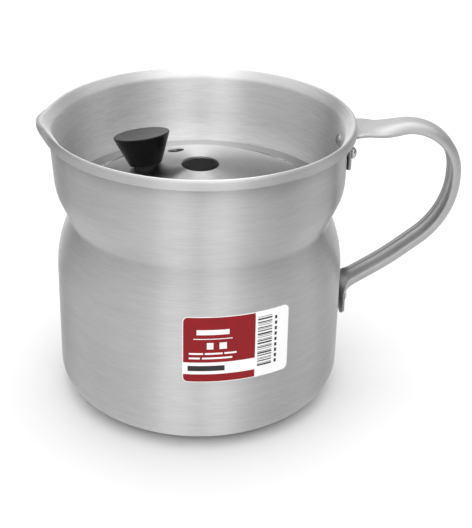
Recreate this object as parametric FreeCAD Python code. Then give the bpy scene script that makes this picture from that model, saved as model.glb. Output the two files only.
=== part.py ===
import FreeCAD, Part
import math
import os

# Pouring pot with a loose boil-over guard. Millimetres.
# Origin: centre of the pot's base, on the surface that it stands on.
# +Z is up, +X is towards the handle, -X is towards the pouring beak.

# ---- pot body: one spun sheet --------------------------------------------------------
SHEET = 1.2                # wall thickness of the pot
BODY_R = 70.0              # outer radius of the lower wall
COLLAR_R = 70.0            # outer radius of the collar wall
BASE_CORNER_R = 16.3       # outer bend between base and wall
SHOULDER_Z = 78.1          # height where the wall and the shoulder line would cross
SHOULDER_BEND = 57.4       # outer bend radius of the shoulder
WAIST_R = 63.25            # outer radius of the waist crease, before its bend
WAIST_Z = 93.4             # height of the waist crease
WAIST_BEND = 3.0           # bend radius at the waist, on the outer face
COLLAR_Z = 108.9           # height where the collar's slope meets its upright wall
COLLAR_BEND = 24.0         # outer bend radius under the collar
FLARE_Z = 136.8            # height where the inner wall starts to flare into the rim
FLARE_BEND = 3.0           # bend radius there, on the inner face
RIM_TOP_Z = 141.2          # top of the rolled rim, which is the pot's height
RIM_R = 74.2               # outer radius of the rolled rim's skirt
RIM_BEND = 1.3             # outer bend radius of the roll
SKIRT_Z = 136.5            # lower edge of the rim's skirt

# ---- pouring beak --------------------------------------------------------------------
BEAK_HALF_ANGLE = 24.0     # degrees of the rim, each side of -X, that the beak takes up
BEAK_FOOT_Z = 115.0        # the wall is round below this height
BEAK_REACH = 3.4           # how far the skirt stands out at the tip
BEAK_WALL_REACH = 2.8      # how far the wall under the rim stands out at the tip
BEAK_DROP = 1.6            # how far the rim dips at the tip
BEAK_SHARPNESS = 1.6       # larger values give a narrower beak
BEAK_SECTIONS = 17

# ---- handle: one strip, folded to a channel ------------------------------------------
STRIP = 1.6                # thickness of the strip
STRIP_WIDTH = 23.0         # of the flat tabs
GRIP_WIDTH = 18.0          # of the strip where it is folded, measured flat
CHANNEL_FLAT = 2.5         # half of the flat back of the channel
CHANNEL_R = 3.6            # bend of the channel's corners, to the middle of the sheet
TAB_GAP = 0.05             # between the wall and the upper tab
LOWER_TAB_GAP = 1.0        # between the wall and the lower tab
UPPER_TAB_END_Z = 115.7    # lower end of the upper tab
LOWER_TAB_END_Z = 36.8     # lower end of the lower tab
UPPER_BEND_Z = 134.2       # corner above the upper tab
UPPER_BEND_R = 5.0
TOP_RISE = 9.0             # degrees that the top run climbs away from the pot
HANDLE_REACH = 127.9       # outermost point of the handle
TOP_BEND_R = 28.0          # large bend at the top of the loop
SIDE_CORNER_Z = 86.9       # corner of the lower bend
SIDE_BEND_R = 44.0
LOWER_SLOPE = 37.7         # degrees of the upper part of the lower run
KNEE_X = 96.0              # where the lower run flattens
KNEE_BEND_R = 120.0
LOWER_BEND_Z = 48.1        # corner above the lower tab
LOWER_BEND_R = 3.0
FOLD_LENGTH_TOP = 28.0     # run over which the strip folds to the channel at the top
FOLD_LENGTH_LOW = 14.0     # the same at the lower end
FOLD_SECTIONS = 12
SECTION_POINTS = 8         # points on each half of a section's curves
FLAT_PAST_BEND = 1.5       # the strip stays flat this far past each end bend

# ---- rivets --------------------------------------------------------------------------
RIVET_SHANK_R = 1.95
RIVET_HOLE_CLEARANCE = 0.05
RIVET_HEAD_R = 3.0
RIVET_HEAD_H = 2.8
RIVET_INNER_HEAD_R = 3.0
RIVET_INNER_HEAD_H = 1.5
UPPER_RIVET_Z = 125.2
UPPER_RIVET_SPACING = 16.0
LOWER_RIVET_Z = 43.2

# ---- guard disc ----------------------------------------------------------------------
GUARD_SHEET = 1.0
GUARD_Z = 102.0            # underside of the disc's flat flange
GUARD_CLEARANCE = 0.3      # between the disc's edge and the collar
BEAD_R = 57.4              # radius of the bead between flange and dome
BEAD_HALF_WIDTH = 0.8
BEAD_HEIGHT = 0.9
DOME_R = 117.0             # sphere radius of the dome's upper face
DOME_FOOT_RISE = 0.3       # of the dome's foot above the flange
CENTRE_HOLE_R = 9.2
RETURN_HOLE_R = 4.0
RETURN_HOLE_CIRCLE = 25.5
RETURN_HOLE_ANGLES = (114.0, 294.0)

# ---- knob and its fastening ----------------------------------------------------------
KNOB_CIRCLE = 26.2         # distance of the knob from the disc's centre
KNOB_ANGLE = 170.4         # degrees from +X
KNOB_LEAN = 12.5           # degrees of the knob's axis from upright
KNOB_LEAN_ANGLE = 126.6    # direction of the lean, degrees from +X
KNOB_STANDOFF = 1.5        # of the knob's underside from the disc, along the knob's axis
KNOB_TOP_R = 13.8
KNOB_BASE_R = 7.9
KNOB_HEIGHT = 14.7
KNOB_EDGE_R = 0.8          # fillet of the knob's top edge
SPACER_R = 6.0
WASHER_R = 5.5
WASHER_DROP = 2.0          # of the washer's underside from the disc's, along the axis
SEAT_GAP = 0.02            # between the dome and the pieces that are cut to fit it
SCREW_R = 2.0
SCREW_CLEARANCE = 0.1
SCREW_HEAD_R = 3.8
SCREW_HEAD_H = 2.6
SCREW_GRIP = 8.5           # length of the screw inside the insert
SCREW_SOCKET_R = 1.5
SCREW_SOCKET_DEPTH = 1.4
INSERT_R = 3.4
INSERT_LENGTH = 10.0

# ---- label ---------------------------------------------------------------------------
LABEL_T = 0.15
LABEL_LENGTH = 51.6        # along the wall
LABEL_HEIGHT = 34.4
LABEL_LOW_Z = 38.0
LABEL_ANGLE = -79.4        # of the label's middle, degrees from +X
LABEL_CORNER_R = 2.5

SEW_TOLERANCE = 0.01       # gap within which two faces count as meeting

UP = FreeCAD.Vector(0, 0, 1)
ORIGIN = FreeCAD.Vector(0, 0, 0)


def vec(x, y, z):
    return FreeCAD.Vector(x, y, z)


def unit(a, b):
    length = math.hypot(b[0] - a[0], b[1] - a[1])
    return (b[0] - a[0]) / length, (b[1] - a[1]) / length


def turn_between(a, b):
    """Signed turn from direction a to direction b; positive is to the left."""
    return math.atan2(a[0] * b[1] - a[1] * b[0], a[0] * b[0] + a[1] * b[1])


def offset_path(path, distance):
    """The same corners, moved to the right of the path by distance."""
    moved = []
    last = len(path) - 1
    for i, point in enumerate(path):
        before = unit(path[max(i - 1, 0)], path[max(i, 1)])
        after = unit(path[min(i, last - 1)], path[min(i + 1, last)])
        half = turn_between(before, after) / 2
        reach = distance / math.cos(half)
        angle = math.atan2(before[1], before[0]) + half - math.pi / 2
        moved.append((point[0] + reach * math.cos(angle), point[1] + reach * math.sin(angle)))
    return moved


def rounded_edges(path, bends, place):
    """Lines and tangent arcs along a path; place turns a flat point into a 3-D one."""
    edges = []
    start = path[0]
    for i in range(1, len(path) - 1):
        before = unit(path[i - 1], path[i])
        after = unit(path[i], path[i + 1])
        turn = turn_between(before, after)
        reach = bends[i - 1] * math.tan(abs(turn) / 2)
        first = (path[i][0] - reach * before[0], path[i][1] - reach * before[1])
        second = (path[i][0] + reach * after[0], path[i][1] + reach * after[1])
        middle_reach = bends[i - 1] * (1 / math.cos(turn / 2) - 1)
        inward = unit((0, 0), (after[0] - before[0], after[1] - before[1]))
        middle = (path[i][0] + middle_reach * inward[0], path[i][1] + middle_reach * inward[1])
        edges.append(Part.makeLine(place(start), place(first)))
        edges.append(Part.Arc(place(first), place(middle), place(second)).toShape())
        start = second
    edges.append(Part.makeLine(place(start), place(path[-1])))
    return edges


def sheet_wire(path, bends, thickness, place):
    """Closed outline of a bent sheet. One face follows path and the other is to its right,
    or to its left if thickness is negative."""
    other = offset_path(path, thickness)
    other_bends = []
    for i, bend in enumerate(bends):
        turn = turn_between(unit(path[i], path[i + 1]), unit(path[i + 1], path[i + 2]))
        other_bends.append(bend + math.copysign(1, turn) * thickness)
    near = rounded_edges(path, bends, place)
    far = rounded_edges(other, other_bends, place)
    closing = [Part.makeLine(place(path[0]), place(other[0]))]
    closing.append(Part.makeLine(place(path[-1]), place(other[-1])))
    return Part.Wire(Part.__sortEdges__(near + far + closing))


def in_radial_plane(angle):
    """Places (radius, height) in the upright half-plane at this angle from +X."""
    c = math.cos(math.radians(angle))
    s = math.sin(math.radians(angle))
    return lambda point: vec(point[0] * c, point[0] * s, point[1])


def flare_slope():
    """Slope of the rim's flare, found so that the roll's crest is at RIM_TOP_Z."""
    centre = (RIM_R - RIM_BEND, RIM_TOP_Z - RIM_BEND)
    across = centre[0] - (COLLAR_R - SHEET)
    up = centre[1] - FLARE_Z
    return math.atan2(across, up) - math.asin(RIM_BEND / math.hypot(across, up))


def rim_path(foot_z, reach=0.0, wall_reach=0.0, drop=0.0):
    """Inner face of the collar wall, then the flare, the crest and the skirt."""
    inner = COLLAR_R - SHEET
    slope = flare_slope()
    crest_z = FLARE_Z + (RIM_R - inner) / math.tan(slope)
    return [
        (inner, foot_z),
        (inner + wall_reach, FLARE_Z - drop),
        (RIM_R + reach, crest_z - drop),
        (RIM_R + reach, SKIRT_Z - drop),
    ]


def rim_bends():
    return [FLARE_BEND, RIM_BEND]


def collar_slope():
    """Angle of the collar's sloped part from upright."""
    return math.atan2(COLLAR_R - WAIST_R, COLLAR_Z - WAIST_Z)


def collar_inner_r(height):
    """Inner radius of the sloped part of the collar at a height."""
    outer = WAIST_R + (height - WAIST_Z) * math.tan(collar_slope())
    return outer - SHEET / math.cos(collar_slope())


def make_round_body(start, sweep):
    """The pot up to the beak's foot, as a sheet turned through part of a circle."""
    outer = [
        (0.0, 0.0),
        (BODY_R, 0.0),
        (BODY_R, SHOULDER_Z),
        (WAIST_R, WAIST_Z),
        (COLLAR_R, COLLAR_Z),
        (COLLAR_R, BEAK_FOOT_Z),
    ]
    bends = [BASE_CORNER_R, SHOULDER_BEND, WAIST_BEND, COLLAR_BEND]
    wire = sheet_wire(outer, bends, -SHEET, in_radial_plane(start))
    return Part.Face(wire).revolve(ORIGIN, UP, sweep)


def make_round_rim(start, sweep):
    """The collar's upper wall and rolled rim, except where the beak is."""
    wire = sheet_wire(rim_path(BEAK_FOOT_Z), rim_bends(), SHEET, in_radial_plane(start))
    return Part.Face(wire).revolve(ORIGIN, UP, sweep)


def loft_beak():
    """The part of the rim that is drawn out to pour, as a loft of upright sections."""
    wires = []
    for i in range(BEAK_SECTIONS):
        across = -1 + 2 * i / (BEAK_SECTIONS - 1)
        share = math.cos(math.pi / 2 * across) ** (2 * BEAK_SHARPNESS)
        path = rim_path(BEAK_FOOT_Z, BEAK_REACH * share, BEAK_WALL_REACH * share, BEAK_DROP * share)
        place = in_radial_plane(180 + across * BEAK_HALF_ANGLE)
        wires.append(sheet_wire(path, rim_bends(), SHEET, place))
    return Part.makeLoft(wires, True, False)


def at_foot(edge):
    return max(abs(vertex.Z - BEAK_FOOT_Z) for vertex in edge.Vertexes) < SEW_TOLERANCE


def from_true_arc(face):
    """A wall face of the beak, made again so that its lower edge is a true arc."""
    low = [edge for edge in face.Edges if at_foot(edge)][0]
    low_points = {(round(v.X, 4), round(v.Y, 4), round(v.Z, 4)) for v in low.Vertexes}
    for edge in face.Edges:
        points = {(round(v.X, 4), round(v.Y, 4), round(v.Z, 4)) for v in edge.Vertexes}
        if not points & low_points:
            high = edge
    start = high.valueAt(high.FirstParameter)
    radius = math.hypot(low.Vertexes[0].X, low.Vertexes[0].Y)
    side = math.copysign(BEAK_HALF_ANGLE, -start.y)
    ends = [in_radial_plane(180 + turn)((radius, BEAK_FOOT_Z)) for turn in (side, 0, -side)]
    arc = Part.Arc(*ends).toShape()
    return Part.makeRuledSurface(arc, high)


def make_beak_faces():
    faces = []
    for face in loft_beak().Faces:
        if is_joint_face(face):
            continue
        touches_foot = any(at_foot(edge) for edge in face.Edges)
        faces.append(from_true_arc(face) if touches_foot else face)
    return faces


def rivet_places():
    """Name, sideways position, height, wall radius and gap under the tab of each rivet."""
    half = UPPER_RIVET_SPACING / 2
    return [
        ("upper_rivet_front", -half, UPPER_RIVET_Z, COLLAR_R, TAB_GAP),
        ("upper_rivet_rear", half, UPPER_RIVET_Z, COLLAR_R, TAB_GAP),
        ("lower_rivet", 0.0, LOWER_RIVET_Z, BODY_R, LOWER_TAB_GAP),
    ]


def drill_rivet_holes(shape):
    for name, y, z, wall_r, gap in rivet_places():
        radius = RIVET_SHANK_R + RIVET_HOLE_CLEARANCE
        length = 3 * (SHEET + STRIP)
        drill = Part.makeCylinder(radius, 2 * length, vec(wall_r - length, y, z), vec(1, 0, 0))
        shape = shape.cut(drill)
    return shape


def is_joint_face(face):
    """True for the flat faces at which the body, the rim and the beak meet."""
    heights = [vertex.Z for vertex in face.Vertexes]
    if max(abs(z - BEAK_FOOT_Z) for z in heights) < SEW_TOLERANCE:
        return True
    flat = face.Surface.TypeId == "Part::GeomPlane"
    return flat and abs(face.normalAt(0, 0).z) < SEW_TOLERANCE


def sew(faces):
    shell = Part.makeShell(faces)
    shell.sewShape(SEW_TOLERANCE)
    return Part.makeSolid(Part.Shell(shell.Faces))


def make_pot_body():
    round_from = BEAK_HALF_ANGLE - 180
    round_sweep = 360 - 2 * BEAK_HALF_ANGLE
    pieces = [
        make_round_body(round_from, round_sweep),
        make_round_rim(round_from, round_sweep),
        make_round_body(round_from + round_sweep, 2 * BEAK_HALF_ANGLE),
    ]
    faces = [face for piece in pieces for face in piece.Faces if not is_joint_face(face)]
    return drill_rivet_holes(sew(faces + make_beak_faces()))


def handle_path():
    """Outer face of the handle in the XZ plane, from the upper tab round to the lower tab."""
    rise = math.tan(math.radians(TOP_RISE))
    upper_x = COLLAR_R + TAB_GAP
    lower_x = BODY_R + LOWER_TAB_GAP + STRIP
    top_z = UPPER_BEND_Z + (HANDLE_REACH - upper_x) * rise
    knee_z = SIDE_CORNER_Z - (HANDLE_REACH - KNEE_X) * math.tan(math.radians(LOWER_SLOPE))
    return [
        (upper_x, UPPER_TAB_END_Z),
        (upper_x, UPPER_BEND_Z),
        (HANDLE_REACH, top_z),
        (HANDLE_REACH, SIDE_CORNER_Z),
        (KNEE_X, knee_z),
        (lower_x, LOWER_BEND_Z),
        (lower_x, LOWER_TAB_END_Z),
    ]


def handle_bends():
    return [UPPER_BEND_R, TOP_BEND_R, SIDE_BEND_R, KNEE_BEND_R, LOWER_BEND_R]


def in_handle_plane(point):
    return vec(point[0], -STRIP_WIDTH / 2, point[1])


def walk(edges, distance):
    """Point and direction at a distance along a chain of edges that run one way."""
    for edge in edges:
        if distance <= edge.Length + 1e-7:
            parameter = edge.getParameterByLength(min(distance, edge.Length))
            return edge.valueAt(parameter), edge.tangentAt(parameter)
        distance -= edge.Length
    raise ValueError("distance is past the end of the path")


def fold_point(run, fold):
    """Distance across and depth of a point on the folded strip's middle, and its slope."""
    corner = CHANNEL_R * math.pi / 2
    if fold == 0:
        return run, 0.0, 0.0
    radius = CHANNEL_R / fold
    back = min(run, CHANNEL_FLAT)
    bent = min(run - back, corner) / radius
    straight = max(run - back - corner, 0.0)
    across = back + radius * math.sin(bent) + straight * math.cos(bent)
    depth = radius * (1 - math.cos(bent)) + straight * math.sin(bent)
    return across, depth, bent


def channel_section(point, direction, fold):
    """Closed outline of the strip across the handle; fold goes from 0, flat, to 1, channel."""
    inward = vec(direction.z, 0, -direction.x)
    half = (STRIP_WIDTH + (GRIP_WIDTH - STRIP_WIDTH) * fold) / 2
    curves = []
    for shift, way in ((-STRIP / 2, 1), (STRIP / 2, -1)):
        points = []
        for i in range(-SECTION_POINTS, SECTION_POINTS + 1):
            run = abs(i) / SECTION_POINTS * half
            across, depth, bent = fold_point(run, fold)
            across -= shift * math.sin(bent)
            depth += STRIP / 2 + shift * math.cos(bent)
            points.append(point + inward * depth + vec(0, math.copysign(across, way * i), 0))
        curve = Part.BSplineCurve()
        curve.interpolate(points)
        curves.append(curve)
    crown, hollow = curves
    return Part.Wire([
        crown.toShape(),
        Part.makeLine(crown.EndPoint, hollow.StartPoint),
        hollow.toShape(),
        Part.makeLine(hollow.EndPoint, crown.StartPoint),
    ])


def ease(share):
    share = min(max(share, 0.0), 1.0)
    return share * share * (3 - 2 * share)


def make_channel():
    """The folded middle of the handle, between the two flat ends."""
    path = handle_path()
    edges = rounded_edges(path, handle_bends(), lambda p: vec(p[0], 0, p[1]))
    length = sum(edge.Length for edge in edges)
    start = edges[0].Length + edges[1].Length + FLAT_PAST_BEND
    end = length - edges[-1].Length - edges[-2].Length - FLAT_PAST_BEND
    stops = [start + FOLD_LENGTH_TOP * i / FOLD_SECTIONS for i in range(FOLD_SECTIONS)]
    middle_from = start + FOLD_LENGTH_TOP
    middle_to = end - FOLD_LENGTH_LOW
    middle_count = 24
    step = (middle_to - middle_from) / middle_count
    stops += [middle_from + step * i for i in range(middle_count)]
    stops += [middle_to + FOLD_LENGTH_LOW * i / FOLD_SECTIONS for i in range(FOLD_SECTIONS + 1)]
    wires = []
    for stop in stops:
        point, direction = walk(edges, stop)
        fold = min(ease((stop - start) / FOLD_LENGTH_TOP), ease((end - stop) / FOLD_LENGTH_LOW))
        wires.append(channel_section(point, direction, fold))
    return Part.makeLoft(wires, True, False)


def make_flat_end(path, bend):
    wire = sheet_wire(path, [bend], STRIP, in_handle_plane)
    return Part.Face(wire).extrude(vec(0, STRIP_WIDTH, 0))


def flat_limit(path, corner, bend, leaving):
    """Where the flat end stops, just past the bend, on the run towards the corner leaving."""
    before = unit(path[corner - 1], path[corner])
    after = unit(path[corner], path[corner + 1])
    reach = bend * math.tan(abs(turn_between(before, after)) / 2) + FLAT_PAST_BEND
    along = unit(path[corner], path[leaving])
    return path[corner][0] + reach * along[0], path[corner][1] + reach * along[1]


def join_at_caps(ends, middle):
    """One solid from pieces that meet at flat caps, by sewing all their other faces."""
    caps = [face.CenterOfMass for face in middle.Faces if face.Surface.TypeId == "Part::GeomPlane"]
    kept = []
    for piece in ends + [middle]:
        for face in piece.Faces:
            if min((face.CenterOfMass - cap).Length for cap in caps) > SEW_TOLERANCE:
                kept.append(face)
    return sew(kept)


def make_handle():
    path = handle_path()
    top = [path[0], path[1], flat_limit(path, 1, UPPER_BEND_R, 2)]
    low = [flat_limit(path, 5, LOWER_BEND_R, 4), path[5], path[6]]
    ends = [make_flat_end(top, UPPER_BEND_R), make_flat_end(low, LOWER_BEND_R)]
    return drill_rivet_holes(join_at_caps(ends, make_channel()))


def make_dome_head(base, axis, radius, height):
    """A low domed rivet head that sits on base and points along axis."""
    sphere_r = (radius * radius + height * height) / (2 * height)
    ball = Part.makeSphere(sphere_r, base + axis * (height - sphere_r))
    return ball.common(Part.makeCylinder(radius * 1.01, height * 1.01, base, axis))


def make_rivet(y, z, wall_r, gap):
    outward = vec(1, 0, 0)
    inner_wall = wall_r - SHEET
    seat_x = wall_r + gap + STRIP
    inner_x = math.sqrt(inner_wall ** 2 - y ** 2)
    overlap = 0.6
    head = make_dome_head(vec(seat_x, y, z), outward, RIVET_HEAD_R, RIVET_HEAD_H)
    shank = Part.makeCylinder(RIVET_SHANK_R, seat_x - inner_x + 2 * overlap,
                              vec(inner_x - overlap, y, z), outward)
    formed = make_dome_head(vec(inner_x + overlap, y, z), outward * -1,
                            RIVET_INNER_HEAD_R, RIVET_INNER_HEAD_H + overlap)
    inside = Part.makeCylinder(inner_wall, 4 * RIVET_INNER_HEAD_R,
                               vec(0, 0, z - 2 * RIVET_INNER_HEAD_R), UP)
    return head.fuse([shank, formed.common(inside)]).removeSplitter()


def dome_centre_z():
    foot_r = BEAD_R - BEAD_HALF_WIDTH
    foot_z = GUARD_Z + GUARD_SHEET + DOME_FOOT_RISE
    return foot_z - math.sqrt(DOME_R ** 2 - foot_r ** 2)


def dome_z(radius, sphere_r=DOME_R):
    """Height of the dome's upper face, or of a face on another sphere round its centre."""
    return dome_centre_z() + math.sqrt(sphere_r ** 2 - radius ** 2)


def dome_ball(radius):
    return Part.makeSphere(radius, vec(0, 0, dome_centre_z()))


def leaning(tilt, angle):
    """Direction that leans by tilt, in radians, towards angle, in degrees."""
    c = math.cos(math.radians(angle))
    s = math.sin(math.radians(angle))
    return vec(math.sin(tilt) * c, math.sin(tilt) * s, math.cos(tilt))


def on_dome(radius, angle):
    c = math.cos(math.radians(angle))
    s = math.sin(math.radians(angle))
    return vec(radius * c, radius * s, dome_z(radius))


def knob_axis():
    return leaning(math.radians(KNOB_LEAN), KNOB_LEAN_ANGLE)


def guard_radius():
    return collar_inner_r(GUARD_Z) - GUARD_CLEARANCE / math.cos(collar_slope())


def make_guard_disc():
    top_z = GUARD_Z + GUARD_SHEET
    inner_bead = BEAD_R - BEAD_HALF_WIDTH
    outer_bead = BEAD_R + BEAD_HALF_WIDTH
    middle_r = (CENTRE_HOLE_R + inner_bead) / 2
    under = DOME_R - GUARD_SHEET
    place = in_radial_plane(0)
    top = [(CENTRE_HOLE_R, dome_z(CENTRE_HOLE_R)), (middle_r, dome_z(middle_r)),
           (inner_bead, dome_z(inner_bead))]
    bead_top = (BEAD_R, top_z + BEAD_HEIGHT)
    outer = [(outer_bead, top_z), (guard_radius(), top_z), (guard_radius(), GUARD_Z),
             (outer_bead, GUARD_Z)]
    bead_low = (BEAD_R, GUARD_Z + BEAD_HEIGHT)
    low = [(inner_bead, dome_z(inner_bead, under)), (middle_r, dome_z(middle_r, under)),
           (CENTRE_HOLE_R, dome_z(CENTRE_HOLE_R, under))]
    edges = [
        Part.Arc(place(top[0]), place(top[1]), place(top[2])).toShape(),
        Part.Arc(place(top[2]), place(bead_top), place(outer[0])).toShape(),
        Part.makeLine(place(outer[0]), place(outer[1])),
        Part.makeLine(place(outer[1]), place(outer[2])),
        Part.makeLine(place(outer[2]), place(outer[3])),
        Part.Arc(place(outer[3]), place(bead_low), place(low[0])).toShape(),
        Part.Arc(place(low[0]), place(low[1]), place(low[2])).toShape(),
        Part.makeLine(place(low[2]), place(top[0])),
    ]
    disc = Part.Face(Part.Wire(edges)).revolve(ORIGIN, UP, 360)
    for angle in RETURN_HOLE_ANGLES:
        normal = leaning(math.asin(RETURN_HOLE_CIRCLE / DOME_R), angle)
        disc = disc.cut(punch(on_dome(RETURN_HOLE_CIRCLE, angle), normal, RETURN_HOLE_R))
    point = on_dome(KNOB_CIRCLE, KNOB_ANGLE)
    return disc.cut(punch(point, knob_axis(), SCREW_R + SCREW_CLEARANCE))


def punch(point, normal, radius):
    length = 6 * GUARD_SHEET
    return Part.makeCylinder(radius, length, point - normal * (length / 2), normal)


def ring(point, normal, outer_r, inner_r, height):
    return Part.makeCylinder(outer_r, height, point, normal).cut(
        Part.makeCylinder(inner_r, height, point, normal))


def knob_base():
    """Centre of the knob's underside."""
    return on_dome(KNOB_CIRCLE, KNOB_ANGLE) + knob_axis() * KNOB_STANDOFF


def make_knob():
    base = knob_base()
    cone = Part.makeCone(KNOB_BASE_R, KNOB_TOP_R, KNOB_HEIGHT, base, knob_axis())
    top_edges = [edge for edge in cone.Edges if abs(edge.Length - 2 * math.pi * KNOB_TOP_R) < 1e-6]
    cone = cone.makeFillet(KNOB_EDGE_R, top_edges)
    return cone.cut(Part.makeCylinder(INSERT_R, INSERT_LENGTH, base, knob_axis()))


def make_knob_insert():
    return ring(knob_base(), knob_axis(), INSERT_R, SCREW_R + SCREW_CLEARANCE, INSERT_LENGTH)


def make_knob_spacer():
    """Levels the knob on the dome: flat above and cut to the dome below."""
    length = 2 * KNOB_STANDOFF
    foot = knob_base() - knob_axis() * length
    blank = ring(foot, knob_axis(), SPACER_R, SCREW_R + SCREW_CLEARANCE, length)
    return blank.cut(dome_ball(DOME_R + SEAT_GAP))


def washer_foot():
    return knob_base() - knob_axis() * (KNOB_STANDOFF + GUARD_SHEET + WASHER_DROP)


def make_knob_washer():
    """Levels the screw's head: flat below and cut to the dome's underside above."""
    blank = ring(washer_foot(), knob_axis(), WASHER_R, SCREW_R + SCREW_CLEARANCE, 2 * WASHER_DROP)
    return blank.common(dome_ball(DOME_R - GUARD_SHEET - SEAT_GAP))


def make_knob_screw():
    foot = washer_foot()
    axis = knob_axis()
    head_base = foot - axis * SCREW_HEAD_H
    head = Part.makeCylinder(SCREW_HEAD_R, SCREW_HEAD_H, head_base, axis)
    socket = Part.makeCylinder(SCREW_SOCKET_R, SCREW_SOCKET_DEPTH, head_base, axis)
    length = WASHER_DROP + GUARD_SHEET + KNOB_STANDOFF + SCREW_GRIP
    shank = Part.makeCylinder(SCREW_R, length, foot, axis)
    return head.cut(socket).fuse(shank)


def make_care_label():
    """A thin sheet with rounded corners that follows the wall."""
    half = BODY_R * math.sin(LABEL_LENGTH / 2 / BODY_R)
    outline = Part.makeBox(2 * BODY_R, 2 * half, LABEL_HEIGHT, vec(0, -half, LABEL_LOW_Z))
    along_x = [edge for edge in outline.Edges if abs(edge.tangentAt(edge.FirstParameter).x) > 0.99]
    outline = outline.makeFillet(LABEL_CORNER_R, along_x)
    wall = [(BODY_R, LABEL_LOW_Z - LABEL_T), (BODY_R, SHOULDER_Z), (WAIST_R, WAIST_Z)]
    wire = sheet_wire(wall, [SHOULDER_BEND], LABEL_T, in_radial_plane(0))
    label = Part.Face(wire).revolve(ORIGIN, UP, 360).common(outline)
    label.rotate(ORIGIN, UP, LABEL_ANGLE)
    return label


def write(name, shape):
    print(name, "valid", shape.isValid(), "solids", len(shape.Solids), "mm3", round(shape.Volume, 1))
    shape.exportStep("parts/" + name + ".step")


os.makedirs("parts", exist_ok=True)
write("pot_body", make_pot_body())
write("handle", make_handle())
for rivet_name, *rivet_place in rivet_places():
    write(rivet_name, make_rivet(*rivet_place))
write("guard_disc", make_guard_disc())
write("knob", make_knob())
write("knob_insert", make_knob_insert())
write("knob_spacer", make_knob_spacer())
write("knob_washer", make_knob_washer())
write("knob_screw", make_knob_screw())
write("care_label", make_care_label())
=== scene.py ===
import math

import bmesh
import bpy
from mathutils import Matrix, Vector
from mathutils.geometry import delaunay_2d_cdt


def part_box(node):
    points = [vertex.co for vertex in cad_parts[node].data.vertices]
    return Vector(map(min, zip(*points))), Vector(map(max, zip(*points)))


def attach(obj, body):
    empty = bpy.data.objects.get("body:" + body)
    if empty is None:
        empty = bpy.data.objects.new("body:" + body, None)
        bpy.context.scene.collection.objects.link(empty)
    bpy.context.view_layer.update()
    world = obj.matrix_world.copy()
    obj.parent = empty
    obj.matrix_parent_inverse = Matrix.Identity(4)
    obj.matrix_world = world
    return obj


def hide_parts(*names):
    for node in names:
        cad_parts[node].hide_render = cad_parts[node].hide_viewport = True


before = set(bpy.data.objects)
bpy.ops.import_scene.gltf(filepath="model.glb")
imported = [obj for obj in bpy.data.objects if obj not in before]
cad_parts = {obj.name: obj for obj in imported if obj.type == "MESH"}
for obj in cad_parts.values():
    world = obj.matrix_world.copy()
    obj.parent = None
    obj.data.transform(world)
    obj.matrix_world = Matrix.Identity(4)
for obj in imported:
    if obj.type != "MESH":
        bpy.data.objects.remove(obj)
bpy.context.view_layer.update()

# Lengths are in millimetres until MM turns them into metres.
MM = 0.001

# ---- sizes that the frame gives ------------------------------------------------------
body_lo, body_hi = (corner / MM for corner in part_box("pot_body"))
handle_lo, handle_hi = (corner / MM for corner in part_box("handle"))
disc_lo, disc_hi = (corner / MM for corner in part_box("guard_disc"))
label_lo, label_hi = (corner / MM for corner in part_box("care_label"))

# ---- pot body ------------------------------------------------------------------------
SHEET = 1.2                          # wall thickness
WALL_R = 70.0                        # outer radius of the lower wall and the collar
RIM_R = body_hi.y                    # outer radius of the rim's skirt
RIM_TOP = body_hi.z                  # height of the rim
BASE_CORNER = 16.3                   # outer bend of the base
SHOULDER = (78.1, 57.4)              # height of the corner and its bend radius
WAIST = (63.25, 93.4, 3.0)           # radius, height and bend radius of the crease
COLLAR = (108.9, 24.0)               # height and bend radius under the collar
FLARE_Z = 136.8                      # height where the inner wall starts to flare
FLARE_RUN = 6.0                      # straight wall kept below the flare
FLARE_BEND = 3.0                     # bend where the flare starts
RIM_BEND = 1.3                       # outer bend of the roll
SKIRT_Z = 136.5                      # lower edge of the rim's skirt
EDGE_BEND = 0.35                     # rounding of cut edges
BODY_STEP = 3.0                      # longest side of the wall's faces

# ---- pouring beak --------------------------------------------------------------------
BEAK_ANGLE = 177.0                   # degrees from +X
BEAK_WALL = (24.0, 1.6, 1.8)         # half angle, sharpness and reach of the drawn-out wall
BEAK_LIP = (10.5, 0.5)               # half angle and sharpness of the lip's lobe
BEAK_FOOT_Z = 106.0                  # height where the beak starts in the wall
BEAK_REACH = -body_lo.x - RIM_R      # how far the lip stands out at the tip
BEAK_DROP = 0.4                      # how far the rim dips at the tip
BEAK_CURL = 2.2                      # how far the skirt's edge is turned up at the tip

# ---- handle --------------------------------------------------------------------------
STRIP = 1.6                          # thickness
STRIP_WIDTH = 23.0                   # of the flat tabs
GRIP_WIDTH = 18.0                    # of the strip where it is folded, measured flat
CHANNEL_FLAT = 2.5                   # half of the flat back of the channel
CHANNEL_R = 3.6                      # bend of its corners, to the middle of the sheet
UPPER_TAB = handle_lo.x              # wall side of the upper tab
LOWER_TAB = 72.6                     # outer side of the lower tab
UPPER_TAB_END = 115.7                # height of its lower end
UPPER_BEND = (134.2, 5.0)            # height and bend radius
TOP_RISE = 9.0                       # slope of the top run, in degrees
HANDLE_REACH = handle_hi.x           # outer side of the grip
TOP_BEND = 28.0                      # bend radius between the top run and the outer side
SIDE_CORNER = (86.9, 44.0)           # height and bend radius of the corner below
LOWER_SLOPE = 37.7                   # slope of the lower run, in degrees
KNEE = (96.0, 120.0)                 # distance from the axis and bend radius
LOWER_BEND = (48.1, 3.0)             # height and bend radius above the lower tab
FOLD_START = 4.0                     # run from the upper bend to where the fold starts
FOLD_TOP = 28.0                      # run over which the strip folds into a channel
FOLD_LOW = 9.0                       # run over which it opens again
FLAT_LOW = 9.8                       # length of the flat lower tab
TAB_ROUNDING = 4.5                   # of the corners of both tabs
STRIP_EDGE = 0.7                     # rounding of the strip's edges
HANDLE_STEP = 1.0                    # longest side of the handle's faces

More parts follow.
